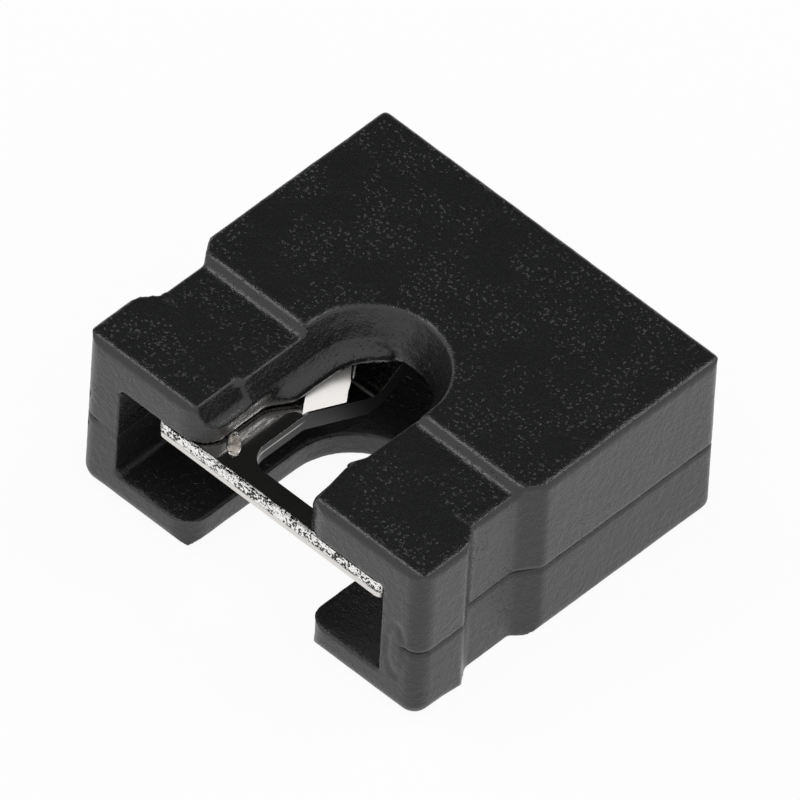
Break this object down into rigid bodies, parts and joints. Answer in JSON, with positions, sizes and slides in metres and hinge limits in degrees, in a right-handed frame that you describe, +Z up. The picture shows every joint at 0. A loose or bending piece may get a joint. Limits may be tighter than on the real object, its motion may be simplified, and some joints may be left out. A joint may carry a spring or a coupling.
{
  "type": "jumper shunt",
  "caption": "Low open-top jumper shunt: black moulded housing with an open notch between two arms, round a U-shaped spring contact that bridges square pins.",
  "frame": {"origin": "middle of the underside of the housing", "axes": "+X across the pins, +Y from the open front to the pin side, +Z up, out of the broad top face"},
  "size_m": [0.005, 0.0046, 0.0024],
  "materials": {
    "housing_plastic": "black glass-filled moulding with a fine spark-eroded grain",
    "contact_metal": "bright tin plate over phosphor bronze, rough on the sheared edges"
  },
  "bodies": {
    "root": {"housing": "housing_plastic", "contact": "contact_metal"}
  },
  "joints": []
}
